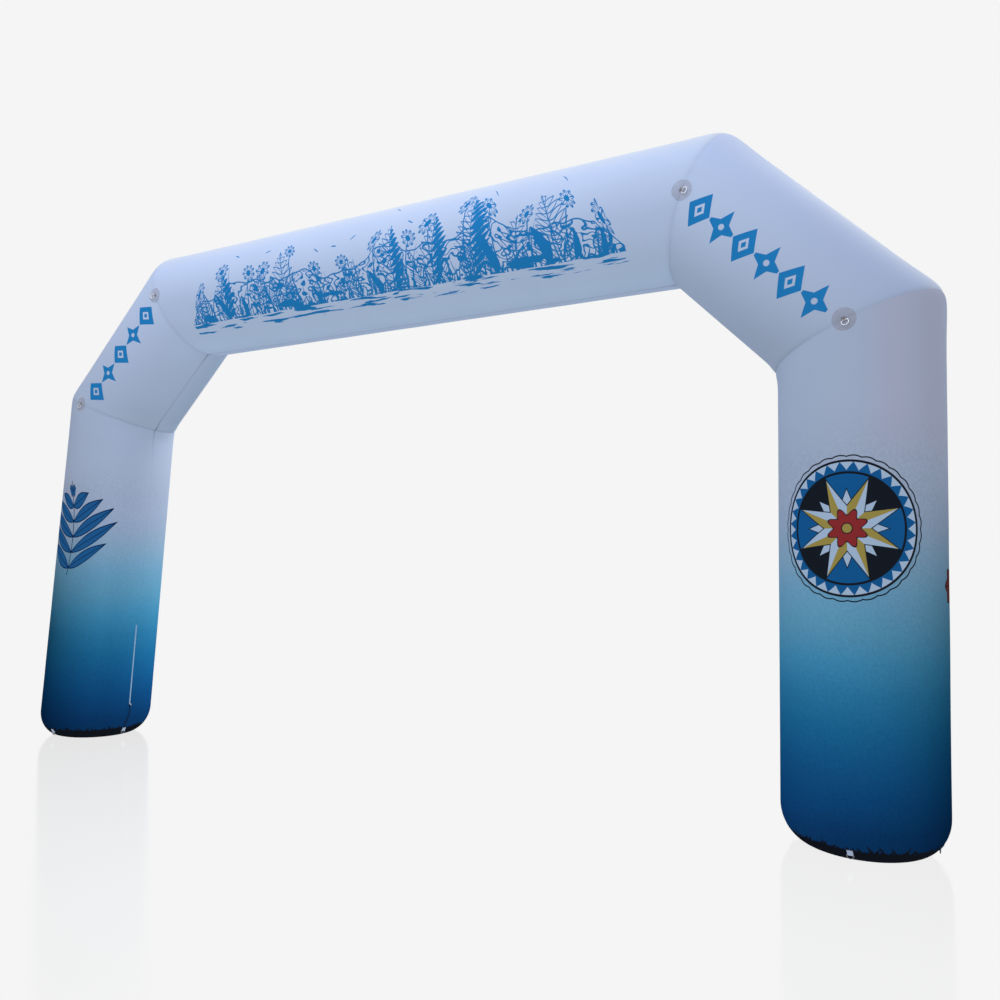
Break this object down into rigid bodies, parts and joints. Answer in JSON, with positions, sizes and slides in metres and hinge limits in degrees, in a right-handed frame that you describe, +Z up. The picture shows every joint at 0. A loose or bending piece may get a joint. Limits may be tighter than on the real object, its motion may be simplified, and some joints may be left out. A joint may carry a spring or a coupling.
{
  "type": "inflatable arch",
  "caption": "Free-standing inflatable arch of round air tube: two rounded feet, legs, angled shoulders and a crossbar, with steel rings for guy ropes and ground pegs.",
  "frame": {"origin": "on the ground, midway between the two feet", "axes": "+X from the left foot to the right foot as seen from the front, front faces -Y, +Z up"},
  "size_m": [8.1926, 1.3126, 4.7602],
  "materials": {
    "leg_cloth": "matt coated polyester, printed blue fading to white",
    "top_cloth": "matt coated polyester, white with blue print",
    "patch_film": "translucent welded film",
    "ring_steel": "bright nickel-plated steel",
    "webbing": "white woven webbing",
    "zip_white": "white coil zip",
    "zip_metal": "satin",
    "cord": "black braided cord"
  },
  "bodies": {
    "root": {"leg_left": "leg_cloth", "leg_right": "leg_cloth", "shoulder_left": "top_cloth", "shoulder_right": "top_cloth", "crossbar": "top_cloth", "patch_front_low_left": "patch_film", "strap_front_low_left": "patch_film", "ring_front_low_left": "ring_steel", "patch_back_low_left": "patch_film", "strap_back_low_left": "patch_film", "ring_back_low_left": "ring_steel", "patch_front_high_left": "patch_film", "strap_front_high_left": "patch_film", "ring_front_high_left": "ring_steel", "patch_back_high_left": "patch_film", "strap_back_high_left": "patch_film", "ring_back_high_left": "ring_steel", "patch_front_high_right": "patch_film", "strap_front_high_right": "patch_film", "ring_front_high_right": "ring_steel", "patch_back_high_right": "patch_film", "strap_back_high_right": "patch_film", "ring_back_high_right": "ring_steel", "patch_front_low_right": "patch_film", "strap_front_low_right": "patch_film", "ring_front_low_right": "ring_steel", "patch_back_low_right": "patch_film", "strap_back_low_right": "patch_film", "ring_back_low_right": "ring_steel", "base_strap_left_outer": "webbing", "base_ring_left_outer": "ring_steel", "base_strap_left_front": "webbing", "base_ring_left_front": "ring_steel", "base_strap_left_inner": "webbing", "base_ring_left_inner": "ring_steel", "base_strap_left_back": "webbing", "base_ring_left_back": "ring_steel", "base_strap_right_outer": "webbing", "base_ring_right_outer": "ring_steel", "base_strap_right_front": "webbing", "base_ring_right_front": "ring_steel", "base_strap_right_inner": "webbing", "base_ring_right_inner": "ring_steel", "base_strap_right_back": "webbing", "base_ring_right_back": "ring_steel", "zip_chain": "zip_white", "zip_slider": "zip_metal", "zip_puller": "zip_metal", "pull_cord": "cord"}
  },
  "joints": []
}
